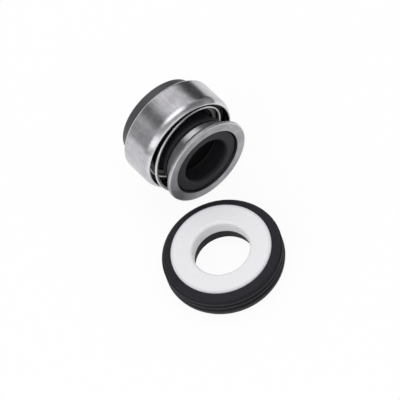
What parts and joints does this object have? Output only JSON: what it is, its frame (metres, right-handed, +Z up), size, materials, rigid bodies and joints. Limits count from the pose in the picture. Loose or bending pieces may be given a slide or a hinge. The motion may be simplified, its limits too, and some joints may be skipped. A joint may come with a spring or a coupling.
{
  "type": "component mechanical seal",
  "caption": "Pump shaft seal: sprung rotary head with rubber bellows in a steel shell and carbon face, and a white ceramic seat in a ribbed rubber cup.",
  "frame": {"origin": "on the seat's axis, at the flat back of its rubber cup, which lies on the floor", "axes": "+Z up along the seat's axis, out of its lapped face; +Y along the head's axis, from its flange to its carbon nose; the head lies on its shell beside the seat"},
  "size_m": [0.0514, 0.0661, 0.0344],
  "materials": {
    "seat_rubber": "satin black",
    "white_ceramic": "lapped white",
    "carbon": "fine matt carbon",
    "shell_steel": "drawn stainless",
    "bellows_rubber": "satin black",
    "washer_steel": "plain stainless",
    "spring_steel": "bright drawn wire",
    "ferrule_steel": "pressed stainless"
  },
  "bodies": {
    "seal_set": {"retainer_shell": "shell_steel", "carbon_face_ring": "carbon", "rubber_bellows": "bellows_rubber", "spring_seat_washer": "washer_steel", "coil_spring": "spring_steel", "seat_cup": "seat_rubber", "ceramic_seat_ring": "white_ceramic"},
    "ferrule": {"tail_ferrule": "ferrule_steel"}
  },
  "joints": [
    {"name": "head_compress", "type": "slide", "parent": "seal_set", "child": "ferrule", "axis": [0, 1, 0], "range_m": [0, 0.005], "stiffness_N_per_m": 5000, "deforming": ["coil_spring", "rubber_bellows"]}
  ]
}
